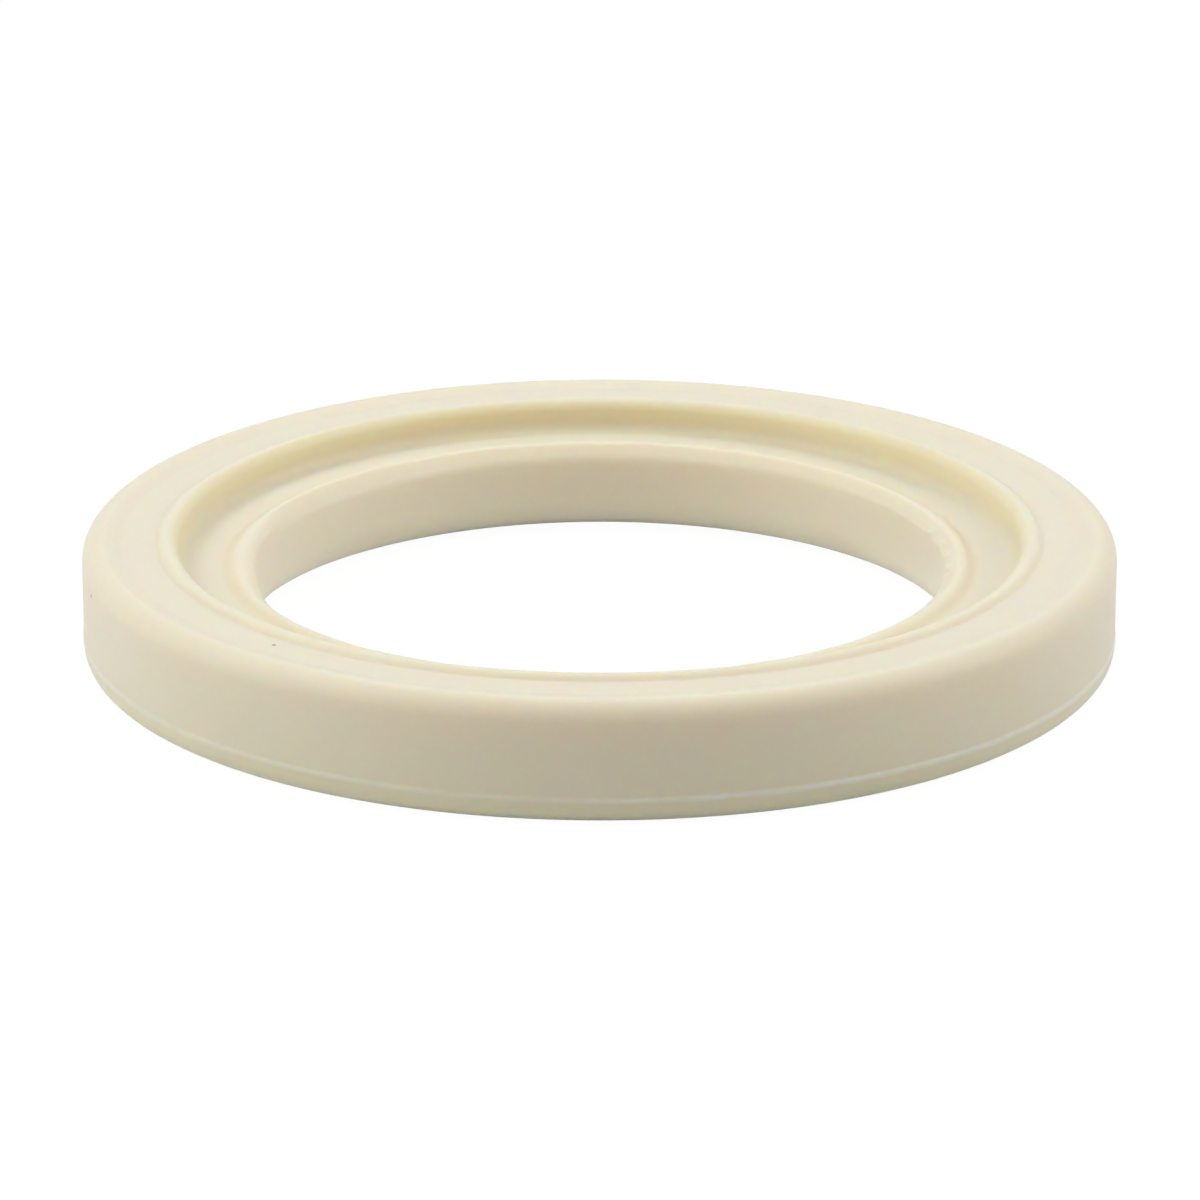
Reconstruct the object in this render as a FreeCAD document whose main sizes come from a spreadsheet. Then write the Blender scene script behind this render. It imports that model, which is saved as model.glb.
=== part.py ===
import FreeCAD, Part
import math
import os
import Sketcher

# Group head gasket: one moulded silicone ring with a stepped section, lying on its flat underside.
# Millimetres. The ring's axis is Z, and the origin is the centre of the underside.

doc = FreeCAD.newDocument("group_head_gasket")

# Driving sizes: name, value and what it measures
driving_sizes = [
    ("outer_diameter", 73.0, "outside of the ring, which fits the group's groove"),
    ("rim_width", 6.75, "outer wall to the wall of the recess that takes the shower screen"),
    ("step_width", 5.35, "recess wall to the bore"),
    ("land_height", 8.2, "underside to the flat land of the upper side"),
    ("ledge_height", 6.17, "underside to the ledge inside the recess"),
    ("rim_rise", 0.28, "crown of the outer rim above the land"),
    ("rim_slope_width", 1.0, "width of the slope from the rim's crown down to the land"),
    ("shoulder_radius", 1.42, "round from the outer wall over to the rim's crown"),
    ("bead_rise", 0.36, "crest of the sealing bead above the land"),
    ("bead_radius", 0.8, "section radius of the sealing bead round the recess"),
    ("bead_root_radius", 0.35, "fillet at the outer foot of the sealing bead"),
    ("lip_rise", 0.52, "crest of the inner lip above the ledge"),
    ("lip_radius", 1.1, "section radius of the inner lip round the bore"),
    ("lip_setback", 1.5, "bore to the crest of the inner lip"),
    ("trim_drop", 0.52, "ledge down to the foot of the sloping face where the lip was trimmed"),
    ("trim_edge_radius", 1.0, "round between that trimmed face and the bore"),
    ("lip_root_radius", 0.45, "fillet at the outer foot of the inner lip"),
    ("recess_foot_radius", 0.6, "fillet between the recess wall and the ledge"),
    ("heel_radius", 1.17, "round between the outer wall and the underside"),
    ("bore_foot_radius", 2.75, "round between the bore and the underside"),
    ("parting_height", 1.72, "underside to the middle of the mould's parting line"),
    ("parting_width", 0.45, "height of the fine ridge left along the parting line"),
    ("parting_proud", 0.05, "how far that ridge stands out of the outer wall"),
]

sizes = doc.addObject("Spreadsheet::Sheet", "Sizes")
for row, (alias, value, meaning) in enumerate(driving_sizes, 1):
    sizes.set(f"A{row}", meaning)
    sizes.set(f"B{row}", str(value))
    sizes.setAlias(f"B{row}", alias)
doc.recompute()

body = doc.addObject("PartDesign::Body", "gasket_ring")
body.Label = "gasket_ring"
body.Placement = FreeCAD.Placement()

START = 1
END = 2
CENTRE = 3
HORIZONTAL_AXIS = -1
ORIGIN_POINT = (-1, 1)
FLAT = FreeCAD.Vector(0, 0, 1)


def section_sketch(name):
    """An empty sketch on the body's XZ plane: x is the radius and y is the height."""
    sketch = body.newObject("Sketcher::SketchObject", name)
    planes = [item for item in body.Origin.OriginFeatures if item.Role == "XZ_Plane"]
    sketch.AttachmentSupport = [(planes[0], "")]
    sketch.MapMode = "FlatFace"
    return sketch


def add_line(sketch, start, end):
    first = FreeCAD.Vector(start[0], start[1], 0)
    last = FreeCAD.Vector(end[0], end[1], 0)
    return sketch.addGeometry(Part.LineSegment(first, last), False)


def add_arc(sketch, centre, start, end):
    """An arc that turns anticlockwise from start to end round centre."""
    middle = FreeCAD.Vector(centre[0], centre[1], 0)
    first = FreeCAD.Vector(start[0], start[1], 0) - middle
    last = FreeCAD.Vector(end[0], end[1], 0) - middle
    circle = Part.Circle(middle, FLAT, first.Length)
    start_angle = circle.parameter(middle + first)
    end_angle = circle.parameter(middle + last)
    return sketch.addGeometry(Part.ArcOfCircle(circle, start_angle, end_angle), False)


def size(sketch, name, expression, *constraint):
    """A named dimension of the sketch, bound to the sheet."""
    index = sketch.addConstraint(Sketcher.Constraint(*constraint))
    sketch.renameConstraint(index, name)
    sketch.setExpression(f"Constraints.{name}", expression)


def from_axis(sketch, name, expression, curve, point, value):
    """Radius of a point of the section, measured from the ring's axis."""
    size(sketch, name, expression, "DistanceX", *ORIGIN_POINT, curve, point, value)


def from_underside(sketch, name, expression, curve, point, value):
    """Height of a point of the section above the underside."""
    size(sketch, name, expression, "DistanceY", *ORIGIN_POINT, curve, point, value)


def join(sketch, curves, smooth=()):
    """Each curve's end meets the next one's start, smoothly at a listed pair. The last closes the outline."""
    for here, following in zip(curves, curves[1:] + curves[:1]):
        kind = "Tangent" if (here, following) in smooth else "Coincident"
        sketch.addConstraint(Sketcher.Constraint(kind, here, END, following, START))


def square_up(sketch, direction, *curves):
    for curve in curves:
        sketch.addConstraint(Sketcher.Constraint(direction, curve))


def revolve(sketch, name):
    """Turn a section sketch once round the ring's axis."""
    feature = body.newObject("PartDesign::Revolution", name)
    feature.Profile = sketch
    feature.ReferenceAxis = (sketch, ["V_Axis"])
    feature.Angle = 360.0
    sketch.Visibility = False
    doc.recompute()
    return feature


def rim_circle(shape, radius, height):
    """Name of the ring-shaped edge of the shape at this radius and height."""
    for index, edge in enumerate(shape.Edges, 1):
        curve = edge.Curve
        if not isinstance(curve, Part.Circle):
            continue
        if abs(curve.Radius - radius) < 1e-4 and abs(curve.Center.z - height) < 1e-4:
            return f"Edge{index}"
    raise ValueError(f"no circular edge of radius {radius} at height {height}")


def round_edge(base, name, radius, height, fillet_size):
    """Round the circular edge of the base feature at this radius and height."""
    fillet = body.newObject("PartDesign::Fillet", name)
    fillet.Base = (base, [rim_circle(base.Shape, radius, height)])
    fillet.setExpression("Radius", fillet_size)
    doc.recompute()
    return fillet


# The stepped section, anticlockwise from the foot of the bore
outer = sizes.outer_diameter / 2
recess = outer - sizes.rim_width
bore = recess - sizes.step_width
land = sizes.land_height
ledge = sizes.ledge_height
crown = land + sizes.rim_rise
crown_radius = outer - sizes.shoulder_radius
bead_centre = (recess + sizes.bead_radius, land + sizes.bead_rise - sizes.bead_radius)
lip_centre = (bore + sizes.lip_setback, ledge + sizes.lip_rise - sizes.lip_radius)
trim_foot = (bore, ledge - sizes.trim_drop)
bead_reach = (sizes.bead_radius**2 - (land - bead_centre[1]) ** 2) ** 0.5
lip_reach = (sizes.lip_radius**2 - (ledge - lip_centre[1]) ** 2) ** 0.5
land_outside = (crown_radius - sizes.rim_slope_width, land)
bead_root = (bead_centre[0] + bead_reach, land)
lip_root = (lip_centre[0] + lip_reach, ledge)
trim_reach = math.dist(lip_centre, trim_foot)
trim_turn = math.pi - math.atan2(trim_foot[1] - lip_centre[1], lip_centre[0] - trim_foot[0])
trim_angle = trim_turn - math.acos(sizes.lip_radius / trim_reach)
trim_top = (lip_centre[0] + sizes.lip_radius * math.cos(trim_angle),
            lip_centre[1] + sizes.lip_radius * math.sin(trim_angle))
shoulder_foot = (outer, crown - sizes.shoulder_radius)

section = section_sketch("stepped_section")
underside = add_line(section, (bore, 0), (outer, 0))
outer_wall = add_line(section, (outer, 0), shoulder_foot)
shoulder = add_arc(section, (crown_radius, shoulder_foot[1]), shoulder_foot, (crown_radius, crown))
rim_slope = add_line(section, (crown_radius, crown), land_outside)
flat_land = add_line(section, land_outside, bead_root)
bead = add_arc(section, bead_centre, bead_root, (recess, bead_centre[1]))
recess_wall = add_line(section, (recess, bead_centre[1]), (recess, ledge))
inner_ledge = add_line(section, (recess, ledge), lip_root)
lip = add_arc(section, lip_centre, lip_root, trim_top)
trimmed_face = add_line(section, trim_top, trim_foot)
bore_wall = add_line(section, trim_foot, (bore, 0))

outline = [underside, outer_wall, shoulder, rim_slope, flat_land,
           bead, recess_wall, inner_ledge, lip, trimmed_face, bore_wall]
smooth_joints = [(outer_wall, shoulder), (bead, recess_wall), (lip, trimmed_face)]
join(section, outline, smooth_joints)
square_up(section, "Horizontal", underside, flat_land, inner_ledge)
square_up(section, "Vertical", outer_wall, recess_wall, bore_wall)
section.addConstraint(Sketcher.Constraint("PointOnObject", underside, START, HORIZONTAL_AXIS))
section.addConstraint(Sketcher.Constraint("Vertical", shoulder, CENTRE, shoulder, END))

from_axis(section, "outer_radius", "Sizes.outer_diameter / 2", outer_wall, START, outer)
size(section, "rim_width", "Sizes.rim_width",
     "DistanceX", recess_wall, END, outer_wall, START, sizes.rim_width)
size(section, "step_width", "Sizes.step_width",
     "DistanceX", bore_wall, END, recess_wall, END, sizes.step_width)
from_underside(section, "land_height", "Sizes.land_height", flat_land, START, land)
from_underside(section, "ledge_height", "Sizes.ledge_height", inner_ledge, START, ledge)
from_underside(section, "crown_height", "Sizes.land_height + Sizes.rim_rise", shoulder, END, crown)
size(section, "slope_width", "Sizes.rim_slope_width",
     "DistanceX", rim_slope, END, rim_slope, START, sizes.rim_slope_width)
size(section, "shoulder_radius", "Sizes.shoulder_radius", "Radius", shoulder, sizes.shoulder_radius)
size(section, "bead_radius", "Sizes.bead_radius", "Radius", bead, sizes.bead_radius)
size(section, "lip_radius", "Sizes.lip_radius", "Radius", lip, sizes.lip_radius)
from_underside(section, "bead_centre_height",
               "Sizes.land_height + Sizes.bead_rise - Sizes.bead_radius",
               bead, CENTRE, bead_centre[1])
from_underside(section, "lip_centre_height",
               "Sizes.ledge_height + Sizes.lip_rise - Sizes.lip_radius",
               lip, CENTRE, lip_centre[1])
size(section, "lip_setback", "Sizes.lip_setback",
     "DistanceX", bore_wall, END, lip, CENTRE, sizes.lip_setback)
from_underside(section, "trim_foot_height", "Sizes.ledge_height - Sizes.trim_drop",
               trimmed_face, END, trim_foot[1])
stepped_ring = revolve(section, "stepped_ring")

# The mould's parting line: a fine ridge round the foot of the outer wall
parting_low = sizes.parting_height - sizes.parting_width / 2
parting_high = sizes.parting_height + sizes.parting_width / 2
chord = sizes.parting_width / 2
ridge_radius = (chord**2 + sizes.parting_proud**2) / (2 * sizes.parting_proud)
ridge_centre = (outer + sizes.parting_proud - ridge_radius, sizes.parting_height)
ridge_root = outer - sizes.parting_width

ridge = section_sketch("parting_section")
ridge_bottom = add_line(ridge, (ridge_root, parting_low), (outer, parting_low))
ridge_crest = add_arc(ridge, ridge_centre, (outer, parting_low), (outer, parting_high))
ridge_top = add_line(ridge, (outer, parting_high), (ridge_root, parting_high))
ridge_back = add_line(ridge, (ridge_root, parting_high), (ridge_root, parting_low))
join(ridge, [ridge_bottom, ridge_crest, ridge_top, ridge_back])
square_up(ridge, "Horizontal", ridge_bottom, ridge_top)
square_up(ridge, "Vertical", ridge_back)
from_axis(ridge, "wall_radius", "Sizes.outer_diameter / 2", ridge_bottom, END, outer)
from_axis(ridge, "wall_radius_above", "Sizes.outer_diameter / 2", ridge_top, START, outer)
from_axis(ridge, "root_radius", "Sizes.outer_diameter / 2 - Sizes.parting_width",
          ridge_back, START, ridge_root)
from_underside(ridge, "lower_side", "Sizes.parting_height - Sizes.parting_width / 2",
               ridge_bottom, END, parting_low)
from_underside(ridge, "upper_side", "Sizes.parting_height + Sizes.parting_width / 2",
               ridge_top, START, parting_high)
size(ridge, "crest_radius",
     "((Sizes.parting_width / 2)^2 + Sizes.parting_proud^2) / (2 * Sizes.parting_proud)",
     "Radius", ridge_crest, ridge_radius)
parting_ridge = revolve(ridge, "parting_ridge")

# The rounds and fillets that the mould leaves on the ring's edges
heel = round_edge(parting_ridge, "heel_round", outer, 0, "Sizes.heel_radius")
bore_foot = round_edge(heel, "bore_foot_round", bore, 0, "Sizes.bore_foot_radius")
bead_foot = round_edge(bore_foot, "bead_root_fillet", bead_root[0], land, "Sizes.bead_root_radius")
lip_foot = round_edge(bead_foot, "lip_root_fillet", lip_root[0], ledge, "Sizes.lip_root_radius")
recess_foot = round_edge(lip_foot, "recess_foot_fillet", recess, ledge, "Sizes.recess_foot_radius")
trim_edge = round_edge(recess_foot, "trim_edge_round", *trim_foot, "Sizes.trim_edge_radius")
body.Tip = trim_edge
doc.recompute()

for item in doc.Objects:
    if "Invalid" in item.State or "Error" in item.State:
        raise RuntimeError(f"{item.Name} did not compute: {item.State}")
for sketch in (section, ridge):
    if not sketch.FullyConstrained:
        raise RuntimeError(f"{sketch.Name} is not fully constrained")
if body.Shape.isNull() or not body.Shape.isValid() or len(body.Shape.Solids) != 1:
    raise RuntimeError(f"{body.Label} is not one valid solid")

os.makedirs("parts", exist_ok=True)
body.Shape.exportStep(f"parts/{body.Label}.step")
print(f"{body.Label}: {body.Shape.Volume:.1f} cubic millimetres")
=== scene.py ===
import math

import bmesh
import bpy
from mathutils import Euler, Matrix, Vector, noise


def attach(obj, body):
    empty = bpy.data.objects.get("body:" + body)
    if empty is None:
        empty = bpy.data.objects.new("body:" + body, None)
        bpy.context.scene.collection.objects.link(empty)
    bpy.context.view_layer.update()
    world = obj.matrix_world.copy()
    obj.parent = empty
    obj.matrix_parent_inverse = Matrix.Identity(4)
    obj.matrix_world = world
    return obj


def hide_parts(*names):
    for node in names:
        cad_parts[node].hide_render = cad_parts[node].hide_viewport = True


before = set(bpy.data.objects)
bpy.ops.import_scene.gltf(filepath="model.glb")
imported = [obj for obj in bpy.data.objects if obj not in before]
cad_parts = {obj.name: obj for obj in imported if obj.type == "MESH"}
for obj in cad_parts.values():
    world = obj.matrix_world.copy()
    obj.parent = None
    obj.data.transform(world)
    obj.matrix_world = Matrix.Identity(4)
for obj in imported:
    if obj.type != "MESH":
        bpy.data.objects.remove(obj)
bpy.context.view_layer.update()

bl_info = {
    "name": "Group head gasket",
    "version": (1, 0, 0),
    "blender": (4, 5, 0),
    "location": "3D View > Sidebar > Gasket",
    "description": "Moulds a silicone group head gasket over its solid and sets it in a plain studio",
    "category": "Object",
}

MM = 0.001
FULL_TURN = 2 * math.pi
HALF_TURN = math.pi
QUARTER_TURN = math.pi / 2
ORIGIN = (0.0, 0.0, 0.0)
RING_AXIS = (0.0, 0.0, 1.0)
SECTION_AXIS = (0.0, -1.0, 0.0)   # turns X towards Z
WHITE = (1.0, 1.0, 1.0, 1.0)

# The mesh of the ring
SECTORS = 20                     # equal sectors: one is swept, the others are its copies
MERGE_DISTANCE = 0.0001 * MM
FLAT_GUARD = 0.12 * MM           # end of a flat to the guard loop beside it
SHAVED_WALL = 1.0 * MM           # top of the bore's wall, in rows that the trimming can move
SHAVED_ROWS = 8

# Steps in each round of the section
BORE_FOOT_STEPS = 8
HEEL_STEPS = 7
PARTING_STEPS = 6
SHOULDER_STEPS = 16
RIM_SLOPE_STEPS = 4
ROOT_STEPS = 5
BEAD_STEPS = 16
RECESS_FOOT_STEPS = 6
LIP_STEPS = 14
LIP_EDGE_STEPS = 5

# Random curves round the ring: about how many waves each has in a radian, and which curve it is
SLOW_CHATTER = (9, 3.0)
QUICK_CHATTER = (40, 7.0)
LIP_WAVES = (7, 5.0)
TOOTH_PLACES = (30, 2.0)

# The marks of the mould and the trimming
BULGES = 3
RIDGE_START = 0.001 * MM         # how far the parting ridge stands out before it is uneven
CHATTER_SHARE = 0.6              # share of each of the two chatters in that unevenness
TOOTH_WANDER = 0.12              # how far the teeth stray from an even pitch, in pitches
TOOTH_FADE = 0.2 * MM            # height over which a tooth eases off
TEETH_FADE = math.radians(3)     # angles over which each stretch eases off
WORN_FADE = math.radians(40)
MISSED_FADE = math.radians(25)
CUT_SHARE = 0.5                  # a cut at 45 degrees moves a point by half the excess each way
CUT_REACH = 2.0 * MM             # nothing is shaved deeper than this below the lip's crest
SOFT_FROM_WALL = 0.5 * MM        # the shaved face is at its softest this far off the bore and on
SHARPEST_FOOT = 0.15             # share of that softness at its foot, where it isn't worn

# Patterns of the finish, in clouds or grains per metre
ROSY_CLOUDS = 90.0
STRAW_CLOUDS = 170.0
SATIN_GRAIN = 600.0
PARTING_GRIT = 900.0
FINE_GRAIN = 3500.0
SPECK_GRIT = 4000.0
FINE_DETAIL = 3.0                # octaves of the satin and of the bloom
CLOUD_DETAIL = 2.0               # octaves of the other patterns
SATIN_SHARE = 0.6                # share of the satin in the bumps, the rest being the fine grain

# Values of a pattern between which it goes from nothing to full
ROSY_RANGE = (0.35, 0.65)
STRAW_RANGE = (0.40, 0.62)
GRIT_RANGE = (0.2, 0.6)

# Places of the painted warm shade, and of the dusting and painted highlight on the parting line, in
# millimetres from an edge: none, full and, for a band, full and none again
ON_OUTER_WALL = (-0.2, 0.0)
HEEL_SHADE_REACH = (-2.0, -1.2)
PARTING_MARK_EDGE = (0.12, 0.32)
LEFT_TO_RIGHT = (-8.0, 8.0)
RECESS_SHADE_BAND = (-1.1, -0.4, 0.15, 0.75)
RECESS_SHADE_HEIGHT = (-0.2, 0.15)
LIP_FOOT_SHADE_BAND = (-0.6, 0.0, 0.2, 0.8)
LIP_FOOT_SHADE_HEIGHT = (-0.8, -0.4)
HEEL_SHADE_HEIGHT = (0.3, 2.4)

SILICONE_IOR = 1.41
SCATTER_SHARES = (1.0, 0.62, 0.28)      # how far red, green and blue spread, of the scatter depth

SPECK_RAGGEDNESS = 0.12 * MM     # how far the edge of a speck strays
SPECK_CORE = 0.5                 # the speck is full up to this share of its radius
SPECK_END = 1.3                  # and gone at this one

SENSOR_WIDTH = 36.0              # of the camera, in millimetres
NEAREST_SEEN = 10 * MM


# Properties


def length(name, description, default):
    return bpy.props.FloatProperty(
        name=name, description=description, default=default * MM, min=0.0, unit="LENGTH",
        precision=5)


def share(name, description, default):
    return bpy.props.FloatProperty(
        name=name, description=description, default=default, min=0.0, max=1.0, subtype="FACTOR")


def colour(name, description, default):
    return bpy.props.FloatVectorProperty(
        name=name, description=description, default=default, size=3, min=0.0, max=1.0,
        subtype="COLOR")


def place(name, description, default):
    return bpy.props.FloatVectorProperty(
        name=name, description=description, default=[part * MM for part in default], size=3,
        unit="LENGTH", subtype="XYZ", precision=5)


def turn(name, description, default):
    return bpy.props.FloatProperty(
        name=name, description=description, default=math.radians(default), subtype="ANGLE")


class RingSection(bpy.types.PropertyGroup):
    """Sizes of the ring's stepped section."""

    outer_diameter: length("Outer diameter", "Outside of the ring", 73.0)
    rim_width: length("Rim width", "Outer wall to the recess for the shower screen", 6.75)
    step_width: length("Step width", "Recess wall to the bore", 5.35)
    land_height: length("Land height", "Underside to the flat land", 8.2)
    ledge_height: length("Ledge height", "Underside to the ledge in the recess", 6.17)
    rim_rise: length("Rim rise", "Crown of the outer rim above the land", 0.28)
    rim_slope: length("Rim slope", "Width of the slope from the rim's crown to the land", 1.4)
    rim_softness: length("Rim softness", "Rounds at the top and foot of that slope", 1.0)
    shoulder_radius: length("Shoulder radius", "Round from the outer wall to the crown", 1.42)
    bead_rise: length("Bead rise", "Crest of the sealing bead above the land", 0.36)
    bead_radius: length("Bead radius", "Section radius of the sealing bead", 0.8)
    lip_rise: length("Lip rise", "Crest of the inner lip above the ledge", 0.55)
    lip_radius: length("Lip radius", "Section radius of the inner lip's crest", 1.2)
    lip_setback: length("Lip setback", "Bore to the lip's crest", 0.95)
    lip_edge_radius: length("Lip edge radius", "Round from the lip's crest to the bore", 0.2)
    recess_foot_radius: length("Recess foot radius", "Fillet from the recess wall to the ledge", 0.85)
    bead_root_radius: length("Bead root radius", "Fillet at the outer foot of the bead", 0.35)
    lip_root_radius: length("Lip root radius", "Fillet at the outer foot of the lip", 0.9)
    heel_radius: length("Heel radius", "Round from the outer wall to the underside", 1.17)
    bore_foot_radius: length("Bore foot radius", "Round from the bore to the underside", 2.75)
    parting_height: length("Parting height", "Underside to the mould's parting line", 1.72)
    parting_width: length("Parting width", "Height of the ridge along the parting line", 0.45)
    parting_proud: length("Parting proud", "How far that ridge stands out", 0.05)
    turns: bpy.props.IntProperty(
        name="Steps round", description="Faces round the ring", default=800, min=32)


class MouldMarks(bpy.types.PropertyGroup):
    """Small faults that the mould and the trimming left on the ring."""

    parting_unevenness: share(
        "Parting unevenness", "How much the parting ridge varies in how far it stands out", 0.7)
    out_of_round: length("Out of round", "Height of the three slight bulges of the soft ring", 0.13)
    bulge_angle: turn("Bulge angle", "Middle of the first of these bulges", 85)
    lip_waviness: length("Lip waviness", "Waves in the height of the lip's crest", 0.03)
    shave_foot: length("Shave foot", "Where the face shaved off the lip meets the bore", 5.75)
    shave_tilt: length("Shave tilt", "How much higher that foot is at the right", 0.24)
    shave_softness: length(
        "Shave softness", "How softly that face runs into the lip and the bore", 0.5)
    missed_half: turn(
        "Missed half", "Half of the stretch at the left that the shaving missed", 10)
    worn_start: turn("Worn start", "Where the foot of that face is worn soft", 50)
    worn_end: turn("Worn end", "Where the worn stretch ends", 140)
    tooth_depth: length(
        "Tooth depth", "Height of the ragged teeth at the foot of the shaved face", 0.45)
    tooth_pitch: length("Tooth pitch", "Distance from tooth to tooth", 2.7)
    teeth_start: turn("Teeth start", "Where the ragged stretch begins", -9)
    teeth_end: turn("Teeth end", "Where the ragged stretch ends", 17)


class SiliconeFinish(bpy.types.PropertyGroup):
    """Colours and surface of the silicone, with the painted warm shade of its hollows and the painted
    highlight on its parting line.
    """

    cream: colour("Cream", "Main colour of the silicone", (0.86, 0.80, 0.635))
    rosy: colour("Rosy cream", "Faint rosy patches", (0.875, 0.79, 0.64))
    straw: colour("Straw", "Faint yellow patches", (0.85, 0.795, 0.60))
    patchiness: share("Patchiness", "How strongly both kinds of patch show", 0.35)
    # A pale line along the parting ridge: partly gritty dusting, partly a painted highlight of the
    # ridge; the two shares below make it stronger to the right.
    parting_dust_and_highlight: colour("Parting dust", "Pale bloom along the parting line", (0.95, 0.92, 0.82))
    left_dust_and_highlight: share("Bloom at the left", "How strongly that bloom shows at the left", 0.4)
    right_dust_and_highlight: share("Bloom at the right", "How strongly it shows at the right", 0.9)
    parting_mark_grit: share("Grit of the bloom", "How much of it is broken up into grit", 0.4)
    # Painted warm shade: a deeper cream on the recess wall, at the lip's outer foot and on the heel
    # stands in for shade and for light scattered inside the silicone there; the three shares below
    # set its strength at each.
    painted_shade_colour: colour("Warm recess", "Deeper cream of the hollows", (0.875, 0.80, 0.55))
    recess_painted_shade: share("Recess tint", "How deep that cream is on the recess wall", 0.8)
    lip_foot_painted_shade: share("Lip foot tint", "How deep it is at the outer foot of the lip", 0.35)
    heel_painted_shade: share("Heel tint", "How deep it is on the heel", 0.45)
    speck: colour("Speck", "Specks of dirt in the silicone", (0.22, 0.23, 0.17))
    speck_strength: share("Speck strength", "How dark the specks are", 0.85)
    wall_speck: place(
        "Speck on the wall", "Centre of the speck on the outer wall", (-35.35, -9.55, 6.74))
    land_speck: place(
        "Speck on the land", "Centre of the speck on the land", (-21.98, -23.8, 8.2))
    speck_radius: length("Speck radius", "Size of each speck", 0.16)
    roughness: share("Roughness", "Satin of the moulded surface", 0.48)
    roughness_spread: share("Roughness spread", "How much that satin varies", 0.08)
    grain: share("Grain", "Strength of the fine grain of the surface", 0.35)
    grain_depth: length("Grain depth", "Depth of that grain", 0.02)
    depth: length("Scatter depth", "How far light spreads inside the silicone", 2.0)


class StudioSetup(bpy.types.PropertyGroup):
    """Camera, floor and light."""

    elevation: turn("Elevation", "Camera's height above the horizon", 19.17)
    distance: length("Distance", "Camera to the point it looks at", 481.1)
    aim: place("Aim", "Point that the camera looks at", (0.0, -0.27, 3.23))
    lens: bpy.props.FloatProperty(
        name="Focal length", description="Camera's focal length", default=203.5, unit="CAMERA")
    floor_size: length("Floor size", "Side of the floor", 600.0)
    floor_colour: colour("Floor colour", "Floor as it lights the ring", (0.88, 0.88, 0.88))
    floor_glow: share("Floor glow", "White of the floor as the camera sees it", 0.955)
    floor_catch: colour(
        "Floor catch", "How the seen floor takes light and shadow", (0.07, 0.07, 0.07))
    softbox_distance: length("Softbox distance", "Centre of the ring to each softbox", 650.0)
    softbox_width: length("Softbox width", "Side of each square softbox", 400.0)


# Softboxes: name, azimuth and elevation in degrees, and power in watts
SOFTBOXES = (
    ("low_left", 180, 12, 0.54),
    ("right", 0, 30, 1.83),
    ("front_left", 225, 30, 0.82),
    ("high_back", 90, 50, 0.86),
    ("high_left", 180, 50, 1.70),
    ("overhead", 0, 70, 0.80),
)


# Shader tools


class Wire:
    """An output socket that can be used in a Python expression on values."""

    def __init__(self, look, socket):
        self.look = look
        self.socket = socket

    def maths(self, operation, left, right):
        return self.look.node("ShaderNodeMath", {"operation": operation}, {0: left, 1: right})

    def __add__(self, other):
        return self.maths("ADD", self, other)

    def __radd__(self, other):
        return self.maths("ADD", other, self)

    def __sub__(self, other):
        return self.maths("SUBTRACT", self, other)

    def __rsub__(self, other):
        return self.maths("SUBTRACT", other, self)

    def __mul__(self, other):
        return self.maths("MULTIPLY", self, other)

    def __rmul__(self, other):
        return self.maths("MULTIPLY", other, self)


class Look:
    """Builds the node tree of one material or of the world."""

    def __init__(self, owner):
        owner.use_nodes = True
        self.owner = owner
        self.tree = owner.node_tree
        self.tree.nodes.clear()

    def node(self, kind, settings=None, inputs=None, output=0):
        """Adds a node: its settings first, then a value or a Wire for each socket."""
        made = self.tree.nodes.new(kind)
        for name, value in (settings or {}).items():
            setattr(made, name, value)
        for name, value in (inputs or {}).items():
            if isinstance(value, Wire):
                self.tree.links.new(value.socket, made.inputs[name])
            else:
                made.inputs[name].default_value = value
        return Wire(self, made.outputs[output]) if made.outputs else None

    def vector_maths(self, operation, inputs, output="Vector"):
        return self.node("ShaderNodeVectorMath", {"operation": operation}, inputs, output)

    def mix_colour(self, factor, first, second):
        return self.node(
            "ShaderNodeMix", {"data_type": "RGBA"}, {"Factor": factor, 6: first, 7: second},
            output=2)

    def mottle(self, where, scale, detail=CLOUD_DETAIL):
        """Cloudy noise from 0 to 1, with scale in clouds per metre."""
        return self.node(
            "ShaderNodeTexNoise", inputs={"Vector": where, "Scale": scale, "Detail": detail},
            output="Fac")

    def ramp(self, value, low, high):
        """Rises smoothly from 0 at low to 1 at high."""
        return self.node(
            "ShaderNodeMapRange", {"interpolation_type": "SMOOTHSTEP"},
            {"Value": value, "From Min": low, "From Max": high, "To Min": 0.0, "To Max": 1.0})

    def rise(self, value, edge, reach):
        """Rises from 0 to 1 between the places that reach gives in millimetres from an edge."""
        return self.ramp(value, edge + reach[0] * MM, edge + reach[1] * MM)

    def band(self, value, edge, reach):
        """Rises between the first two places of reach, and falls again between the last two."""
        return self.rise(value, edge, reach[:2]) * (1.0 - self.rise(value, edge, reach[2:]))

    def seen_directly(self):
        """1 for camera, mirror and see-through rays, 0 for the rays that light the object."""
        kinds = [self.node("ShaderNodeLightPath", output=name)
                 for name in ("Is Camera Ray", "Is Glossy Ray", "Is Transmission Ray")]
        return self.node("ShaderNodeMath", {"operation": "ADD", "use_clamp": True},
                         {0: kinds[0] + kinds[1], 1: kinds[2]})


def solid_colour(rgb):
    return (*rgb, 1.0)


# Silicone


def patchy_cream(look, where, finish):
    """The cream with its rosy and straw patches."""
    rosy = look.ramp(look.mottle(where, ROSY_CLOUDS), *ROSY_RANGE)
    straw = look.ramp(look.mottle(where, STRAW_CLOUDS), *STRAW_RANGE)
    tone = look.mix_colour(
        finish.patchiness * rosy, solid_colour(finish.cream), solid_colour(finish.rosy))
    return look.mix_colour(finish.patchiness * straw, tone, solid_colour(finish.straw))


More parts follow.
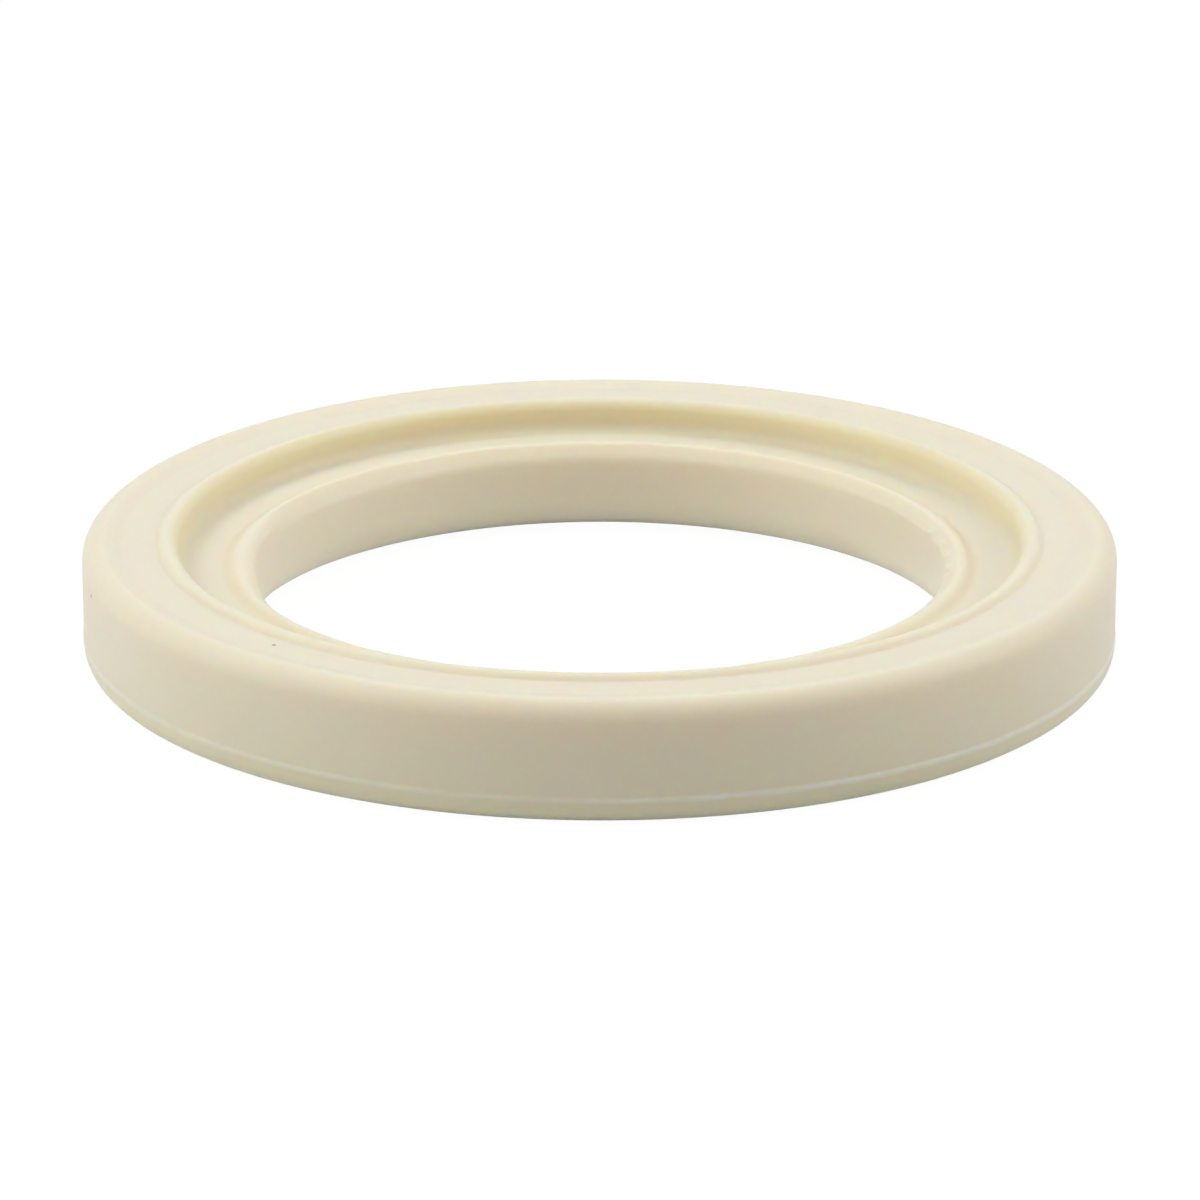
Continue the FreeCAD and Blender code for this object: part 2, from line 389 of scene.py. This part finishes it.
def dusted_and_highlighted_parting(look, where, radius, height, tone, finish, section):
    """Pale, gritty dusting along the parting line with a painted highlight of the ridge, stronger to
    the right.
    """
    off_line = look.node(
        "ShaderNodeMath", {"operation": "ABSOLUTE"}, {0: height - section.parting_height})
    on_wall = look.rise(radius, section.outer_diameter / 2, ON_OUTER_WALL)
    grit = look.ramp(look.mottle(where, PARTING_GRIT, FINE_DETAIL), *GRIT_RANGE)
    gritty = (1.0 - finish.parting_mark_grit) + finish.parting_mark_grit * grit
    dust_and_highlight = (1.0 - look.rise(off_line, 0.0, PARTING_MARK_EDGE)) * on_wall * gritty
    # The painted highlight is made stronger towards the right
    sideways = look.node("ShaderNodeSeparateXYZ", inputs={"Vector": where}, output="X")
    gain = finish.right_dust_and_highlight - finish.left_dust_and_highlight
    strength = finish.left_dust_and_highlight + gain * look.rise(sideways, 0.0, LEFT_TO_RIGHT)
    return look.mix_colour(strength * dust_and_highlight, tone, solid_colour(finish.parting_dust_and_highlight))


def painted_warm_shade(look, radius, height, tone, finish, section):
    """Painted warm shade: deeper cream on the recess wall, at the outer foot of the lip and on the
    heel, standing in for shade and for light scattered inside the silicone.
    """
    outer = section.outer_diameter / 2
    recess = outer - section.rim_width
    lip_foot = recess - section.step_width + section.lip_setback + section.lip_radius
    ledge = section.ledge_height
    # Each painted shade: its strength, where it lies across the section and where it lies upwards
    hollows = (
        (finish.recess_painted_shade, look.band(radius, recess, RECESS_SHADE_BAND),
         look.rise(height, ledge, RECESS_SHADE_HEIGHT)),
        (finish.lip_foot_painted_shade, look.band(radius, lip_foot, LIP_FOOT_SHADE_BAND),
         look.rise(height, ledge, LIP_FOOT_SHADE_HEIGHT)),
        (finish.heel_painted_shade, look.rise(radius, outer, HEEL_SHADE_REACH),
         1.0 - look.rise(height, 0.0, HEEL_SHADE_HEIGHT)),
    )
    for tint, across, upwards in hollows:
        tone = look.mix_colour(tint * across * upwards, tone, solid_colour(finish.painted_shade_colour))
    return tone


def dirt_specks(look, where, tone, finish):
    """Two small dark specks with ragged edges."""
    stray = look.vector_maths("SCALE", {
        0: look.node("ShaderNodeTexNoise", inputs={"Vector": where, "Scale": SPECK_GRIT},
                     output="Color"),
        "Scale": SPECK_RAGGEDNESS})
    ragged = look.vector_maths("ADD", {0: where, 1: stray})
    mean_stray = Vector((SPECK_RAGGEDNESS, SPECK_RAGGEDNESS, SPECK_RAGGEDNESS)) / 2
    for centre in (finish.wall_speck, finish.land_speck):
        away = look.vector_maths(
            "DISTANCE", {0: ragged, 1: Vector(centre) + mean_stray}, output="Value")
        spot = 1.0 - look.ramp(
            away, SPECK_CORE * finish.speck_radius, SPECK_END * finish.speck_radius)
        tone = look.mix_colour(finish.speck_strength * spot, tone, solid_colour(finish.speck))
    return tone


def silicone_look(finish, section):
    """Cream silicone: soft scatter, faint patches, painted warm shade in the hollows, pale dusting
    with a painted highlight on the parting line, satin grain and two specks.
    """
    look = Look(bpy.data.materials.new("cream_silicone"))
    where = look.node("ShaderNodeTexCoord", output="Object")
    height = look.node("ShaderNodeSeparateXYZ", inputs={"Vector": where}, output="Z")
    flat = look.vector_maths("MULTIPLY", {0: where, 1: (1.0, 1.0, 0.0)})
    radius = look.vector_maths("LENGTH", {0: flat}, output="Value")

    tone = patchy_cream(look, where, finish)
    # Dusting and a painted highlight on the parting line, then painted warm shade in the hollows
    tone = dusted_and_highlighted_parting(look, where, radius, height, tone, finish, section)
    tone = painted_warm_shade(look, radius, height, tone, finish, section)
    tone = dirt_specks(look, where, tone, finish)

    satin = look.mottle(where, SATIN_GRAIN, FINE_DETAIL)
    grain = look.mottle(where, FINE_GRAIN)
    bumpy = look.node("ShaderNodeBump", inputs={
        "Height": satin * SATIN_SHARE + grain * (1.0 - SATIN_SHARE),
        "Strength": finish.grain,
        "Distance": finish.grain_depth,
    }, output="Normal")
    surface = look.node("ShaderNodeBsdfPrincipled", {"subsurface_method": "RANDOM_WALK"}, {
        "Base Color": tone,
        "Roughness": finish.roughness + finish.roughness_spread * (satin - 0.5),
        "Normal": bumpy,
        "IOR": SILICONE_IOR,
        "Subsurface Weight": 1.0,
        "Subsurface Radius": SCATTER_SHARES,
        "Subsurface Scale": finish.depth,
    }, output="BSDF")
    look.node("ShaderNodeOutputMaterial", inputs={"Surface": surface})
    return look.owner


# Section of the ring


class SectionTracer:
    """Traces a closed section in the XZ plane as one run of edges: X is the radius, Z the height."""

    def __init__(self, radius, height):
        self.mesh = bmesh.new()
        self.first = self.mesh.verts.new((radius, 0.0, height))
        self.tip = self.first

    def line_to(self, radius, height, guard=FLAT_GUARD):
        """Straight to a point. Guard loops near the ends of a long flat keep its shading flat."""
        start = self.tip.co.copy()
        run = Vector((radius, 0.0, height)) - start
        stops = [1.0]
        if run.length > 3 * guard:
            stops = [guard / run.length, 1.0 - guard / run.length, 1.0]
        for stop in stops:
            self.tip = bmesh.ops.extrude_vert_indiv(self.mesh, verts=[self.tip])["verts"][0]
            self.tip.co = start + run * stop

    def arc(self, centre, angle, steps):
        """Round a centre, anticlockwise with X to the right and Z up where the angle is positive."""
        middle = (centre[0], 0.0, centre[1])
        swept = bmesh.ops.spin(self.mesh, geom=[self.tip], cent=middle, axis=SECTION_AXIS,
                               dvec=ORIGIN, angle=angle, steps=steps)
        self.tip = [part for part in swept["geom_last"] if isinstance(part, bmesh.types.BMVert)][0]

    def close(self):
        self.mesh.edges.new((self.tip, self.first))
        bmesh.ops.remove_doubles(self.mesh, verts=self.mesh.verts[:], dist=MERGE_DISTANCE)
        return self.mesh


def crest_with_root(tracer, floor_height, centre, crest_radius, root_radius, end_angle, steps):
    """From a flat: a root fillet up into the crest's arc and over it, as far as the end angle."""
    root_height = floor_height + root_radius
    reach = math.sqrt((crest_radius + root_radius) ** 2 - (root_height - centre[1]) ** 2)
    root_centre = (centre[0] + reach, root_height)
    lean = math.atan2(root_height - centre[1], reach)
    tracer.line_to(root_centre[0], floor_height)
    tracer.arc(root_centre, lean - QUARTER_TURN, ROOT_STEPS)
    tracer.arc(centre, end_angle - lean, steps)


def trace_foot_and_wall(tracer, section, outer, bore):
    """The underside with its two rounds, and the outer wall with its parting ridge."""
    foot = section.bore_foot_radius
    heel = section.heel_radius
    tracer.arc((bore + foot, foot), QUARTER_TURN, BORE_FOOT_STEPS)
    tracer.line_to(outer - heel, 0.0)
    tracer.arc((outer - heel, heel), QUARTER_TURN, HEEL_STEPS)

    half_ridge = section.parting_width / 2
    ridge_radius = (half_ridge**2 + section.parting_proud**2) / (2 * section.parting_proud)
    ridge_lean = math.asin(half_ridge / ridge_radius)
    ridge_centre = (outer + section.parting_proud - ridge_radius, section.parting_height)
    tracer.line_to(outer, section.parting_height - half_ridge)
    tracer.arc(ridge_centre, 2 * ridge_lean, PARTING_STEPS)


def trace_rim(tracer, section, outer):
    """The shoulder, the crown and its soft slope down to the land."""
    land = section.land_height
    crown = land + section.rim_rise
    shoulder_centre = (outer - section.shoulder_radius, crown - section.shoulder_radius)
    tracer.line_to(outer, shoulder_centre[1])
    tracer.arc(shoulder_centre, QUARTER_TURN, SHOULDER_STEPS)

    # Two rounds of one radius, joined by the straight line that touches both
    soft = section.rim_softness
    drop = 2 * soft - section.rim_rise
    span = math.hypot(section.rim_slope, drop)
    slope = math.atan2(section.rim_slope, drop) - math.acos(2 * soft / span)
    foot_centre = (shoulder_centre[0] - section.rim_slope, land + soft)
    tracer.arc((shoulder_centre[0], crown - soft), slope, RIM_SLOPE_STEPS)
    tracer.line_to(foot_centre[0] + soft * math.sin(slope), foot_centre[1] - soft * math.cos(slope))
    tracer.arc(foot_centre, -slope, RIM_SLOPE_STEPS)


def trace_lip(tracer, section, bore):
    """The lip's crest, its rounded edge and the rows of the bore's wall below it."""
    edge = section.lip_edge_radius
    inner_reach = section.lip_radius - edge
    lean = math.acos((section.lip_setback - edge) / inner_reach)
    lip_centre = (bore + section.lip_setback,
                  section.ledge_height + section.lip_rise - section.lip_radius)
    crest_with_root(tracer, section.ledge_height, lip_centre, section.lip_radius,
                    section.lip_root_radius, HALF_TURN - lean, LIP_STEPS)
    edge_height = lip_centre[1] + inner_reach * math.sin(lean)
    tracer.arc((bore + edge, edge_height), lean, LIP_EDGE_STEPS)
    for row in range(1, SHAVED_ROWS + 1):
        tracer.line_to(bore, edge_height - row / SHAVED_ROWS * SHAVED_WALL, guard=SHAVED_WALL)


def trace_section(section):
    """The stepped section, anticlockwise from the foot of the bore."""
    outer = section.outer_diameter / 2
    recess = outer - section.rim_width
    bore = recess - section.step_width
    land = section.land_height

    tracer = SectionTracer(bore, section.bore_foot_radius)
    trace_foot_and_wall(tracer, section, outer, bore)
    trace_rim(tracer, section, outer)

    bead_centre = (recess + section.bead_radius, land + section.bead_rise - section.bead_radius)
    crest_with_root(tracer, land, bead_centre, section.bead_radius, section.bead_root_radius,
                    HALF_TURN, BEAD_STEPS)
    foot = section.recess_foot_radius
    foot_height = section.ledge_height + foot
    tracer.line_to(recess, foot_height)
    tracer.arc((recess - foot, foot_height), -QUARTER_TURN, RECESS_FOOT_STEPS)

    trace_lip(tracer, section, bore)
    return tracer.close()


def turn_section(mesh, turns):
    """Sweeps one sector of the ring, repeats it round the axis and joins the sectors."""
    sector = FULL_TURN / SECTORS
    bmesh.ops.spin(mesh, geom=mesh.verts[:] + mesh.edges[:], cent=ORIGIN, axis=RING_AXIS,
                   dvec=ORIGIN, angle=sector, steps=turns // SECTORS)
    bmesh.ops.spin(mesh, geom=mesh.verts[:] + mesh.edges[:] + mesh.faces[:], cent=ORIGIN,
                   axis=RING_AXIS, dvec=ORIGIN, angle=FULL_TURN - sector, steps=SECTORS - 1,
                   use_duplicate=True)
    bmesh.ops.remove_doubles(mesh, verts=mesh.verts[:], dist=MERGE_DISTANCE)
    bmesh.ops.recalc_face_normals(mesh, faces=mesh.faces[:])


# Marks of the mould and the trimming


def ripple(angle, count, seed):
    """A smooth closed random curve round the ring, from about -1 to 1."""
    return noise.noise(Vector((math.cos(angle), math.sin(angle), seed)) * count) * 2


def fade(value, low, high, width):
    """1 between low and high, easing to 0 over a width outside them."""
    outside = max(low - value, value - high, 0.0) / width
    return max(0.0, 1.0 - outside) ** 2


def eased_excess(excess, softness):
    """The part of a length above zero, easing in from minus the softness."""
    if excess < -softness:
        return 0.0
    if excess < softness:
        return (excess + softness) ** 2 / (4 * softness)
    return excess


def parting_chatter(angle, radius, height, section, marks):
    """How far the uneven parting ridge stands out or in."""
    proud = radius - section.outer_diameter / 2
    if proud <= RIDGE_START or abs(height - section.parting_height) >= section.parting_width:
        return 0.0
    chatter = (CHATTER_SHARE * ripple(angle, *SLOW_CHATTER)
               + CHATTER_SHARE * ripple(angle, *QUICK_CHATTER))
    return proud * marks.parting_unevenness * chatter


def lip_wave(angle, radius, height, bore, section, marks):
    """How much higher or lower the lip's crest is."""
    lip_crest = section.ledge_height + section.lip_rise
    lip_outside = bore + section.lip_setback + section.lip_radius
    above_ledge = fade(height, section.ledge_height, lip_crest, section.lip_rise)
    on_lip = fade(radius, bore, lip_outside, section.lip_radius)
    if above_ledge * on_lip == 0.0:
        return 0.0
    return marks.lip_waviness * above_ledge * on_lip * ripple(angle, *LIP_WAVES)


def shaved_off(angle, radius, height, bore, section, marks):
    """How far the slanting cut of the trimming moves a point outwards and down."""
    lip_crest = section.ledge_height + section.lip_rise
    lip_outside = bore + section.lip_setback + section.lip_radius
    if radius >= lip_outside or height <= lip_crest - CUT_REACH:
        return 0.0
    foot = marks.shave_foot + marks.shave_tilt * math.cos(angle)

    pitches = angle * (bore / marks.tooth_pitch) + TOOTH_WANDER * ripple(angle, *TOOTH_PLACES)
    tooth = 1.0 - pitches % 1.0
    ragged = fade(angle, marks.teeth_start, marks.teeth_end, TEETH_FADE)
    at_foot = fade(height, foot, foot + marks.tooth_depth, TOOTH_FADE)
    torn = marks.tooth_depth * tooth**2 * ragged * at_foot

    worn = fade(angle, marks.worn_start, marks.worn_end, WORN_FADE)
    off_wall = min(1.0, (radius - bore) / SOFT_FROM_WALL)
    missed = fade(abs(angle), HALF_TURN - marks.missed_half, HALF_TURN, MISSED_FADE)
    beyond = (bore - foot) - (radius - height) - torn
    return CUT_SHARE * (1.0 - missed) * eased_excess(
        beyond, marks.shave_softness * max(worn, off_wall, SHARPEST_FOOT))


def leave_mould_marks(mesh, section, marks):
    """Moves each vertex by the small faults at its place on the ring."""
    bore = section.outer_diameter / 2 - section.rim_width - section.step_width
    for vert in mesh.verts:
        radius = math.hypot(vert.co.x, vert.co.y)
        angle = math.atan2(vert.co.y, vert.co.x)
        height = vert.co.z
        cut = shaved_off(angle, radius, height, bore, section, marks)
        shift = (marks.out_of_round * math.cos(BULGES * (angle - marks.bulge_angle))
                 + parting_chatter(angle, radius, height, section, marks) + cut)
        vert.co.x += shift * math.cos(angle)
        vert.co.y += shift * math.sin(angle)
        vert.co.z += lip_wave(angle, radius, height, bore, section, marks) - cut


# Operators


class GASKET_OT_ring(bpy.types.Operator):
    """Turn the stepped section into the silicone ring and give it its finish, painted shade and
    highlight included
    """

    bl_idname = "gasket.ring"
    bl_label = "Mould the ring"

    def execute(self, context):
        section = context.scene.gasket_section
        mesh = trace_section(section)
        turn_section(mesh, section.turns)
        leave_mould_marks(mesh, section, context.scene.gasket_marks)
        for face in mesh.faces:
            face.smooth = True
        data = bpy.data.meshes.new("silicone_ring")
        mesh.to_mesh(data)
        mesh.free()
        data.materials.append(silicone_look(context.scene.gasket_finish, section))
        ring = bpy.data.objects.new("silicone_ring", data)
        context.scene.collection.objects.link(ring)
        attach(ring, "root")
        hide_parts("gasket_ring")
        return {"FINISHED"}


def softbox(scene, studio, name, azimuth, elevation, power):
    """A square softbox on a dome over the ring, facing its centre."""
    light = bpy.data.lights.new(name, "AREA")
    light.size = studio.softbox_width
    light.energy = power
    holder = bpy.data.objects.new(name, light)
    level = math.cos(elevation)
    outwards = Vector((level * math.cos(azimuth), level * math.sin(azimuth), math.sin(elevation)))
    holder.location = outwards * studio.softbox_distance
    holder.rotation_euler = (-outwards).to_track_quat("-Z", "Y").to_euler()
    scene.collection.objects.link(holder)


def build_floor(scene, studio):
    """A plain pale floor that is white to the camera and keeps the ring's soft shadow."""
    mesh = bmesh.new()
    bmesh.ops.create_grid(mesh, x_segments=1, y_segments=1, size=studio.floor_size / 2)
    data = bpy.data.meshes.new("studio_floor")
    mesh.to_mesh(data)
    mesh.free()
    floor = bpy.data.objects.new("studio_floor", data)
    scene.collection.objects.link(floor)

    look = Look(bpy.data.materials.new("pale_floor"))
    lighting = look.node(
        "ShaderNodeBsdfDiffuse", inputs={"Color": solid_colour(studio.floor_colour)})
    catching = look.node(
        "ShaderNodeBsdfDiffuse", inputs={"Color": solid_colour(studio.floor_catch)})
    glowing = look.node(
        "ShaderNodeEmission", inputs={"Color": WHITE, "Strength": studio.floor_glow})
    shown = look.node("ShaderNodeAddShader", inputs={0: catching, 1: glowing})
    surface = look.node(
        "ShaderNodeMixShader", inputs={0: look.seen_directly(), 1: lighting, 2: shown})
    look.node("ShaderNodeOutputMaterial", inputs={"Surface": surface})
    data.materials.append(look.owner)


def build_backdrop(scene):
    """A backdrop that is white to the camera and lends the ring no light."""
    look = Look(bpy.data.worlds.new("studio_sky"))
    scene.world = look.owner
    lighting = look.node("ShaderNodeBackground", inputs={"Color": WHITE, "Strength": 0.0})
    shown = look.node("ShaderNodeBackground", inputs={"Color": WHITE, "Strength": 1.0})
    surface = look.node(
        "ShaderNodeMixShader", inputs={0: look.seen_directly(), 1: lighting, 2: shown})
    look.node("ShaderNodeOutputWorld", inputs={"Surface": surface})


def set_camera(scene, studio):
    """The camera where the photograph was taken from."""
    camera = bpy.data.cameras.new("photo_camera")
    camera.lens = studio.lens
    camera.sensor_width = SENSOR_WIDTH
    camera.clip_start = NEAREST_SEEN
    holder = bpy.data.objects.new("photo_camera", camera)
    tilt = studio.elevation
    backwards = Vector((0.0, -math.cos(tilt), math.sin(tilt)))
    holder.location = Vector(studio.aim) + backwards * studio.distance
    holder.rotation_euler = Euler((QUARTER_TURN - tilt, 0.0, 0.0))
    scene.collection.objects.link(holder)
    scene.camera = holder


class GASKET_OT_stage(bpy.types.Operator):
    """Set up the floor, the soft light and the camera"""

    bl_idname = "gasket.stage"
    bl_label = "Set the stage"

    def execute(self, context):
        scene = context.scene
        studio = scene.gasket_studio
        build_floor(scene, studio)
        build_backdrop(scene)
        for name, azimuth, elevation, power in SOFTBOXES:
            softbox(scene, studio, name, math.radians(azimuth), math.radians(elevation), power)
        set_camera(scene, studio)
        scene.view_settings.view_transform = "Standard"
        return {"FINISHED"}


class GASKET_PT_build(bpy.types.Panel):
    """Sizes, finish and stage of the gasket"""

    bl_idname = "GASKET_PT_build"
    bl_label = "Group head gasket"
    bl_space_type = "VIEW_3D"
    bl_region_type = "UI"
    bl_category = "Gasket"

    def draw(self, context):
        layout = self.layout
        for heading, group_name in PANEL_ORDER:
            group = getattr(context.scene, group_name)
            box = layout.box()
            box.label(text=heading)
            for name in group.__annotations__:
                box.prop(group, name)
        for operator in BUILD_ORDER:
            layout.operator(operator.bl_idname)


PANEL_ORDER = (
    ("Section", "gasket_section"),
    ("Mould marks", "gasket_marks"),
    ("Finish", "gasket_finish"),
    ("Studio", "gasket_studio"),
)
GROUPS = {
    "gasket_section": RingSection,
    "gasket_marks": MouldMarks,
    "gasket_finish": SiliconeFinish,
    "gasket_studio": StudioSetup,
}
BUILD_ORDER = (GASKET_OT_ring, GASKET_OT_stage)


def register():
    for kind in (*GROUPS.values(), *BUILD_ORDER, GASKET_PT_build):
        bpy.utils.register_class(kind)
    for name, group in GROUPS.items():
        setattr(bpy.types.Scene, name, bpy.props.PointerProperty(type=group))


def unregister():
    for name in GROUPS:
        delattr(bpy.types.Scene, name)
    for kind in (GASKET_PT_build, *reversed(BUILD_ORDER), *reversed(GROUPS.values())):
        bpy.utils.unregister_class(kind)


def main():
    register()
    bpy.ops.gasket.ring()
    bpy.ops.gasket.stage()


if __name__ == "__main__":
    main()
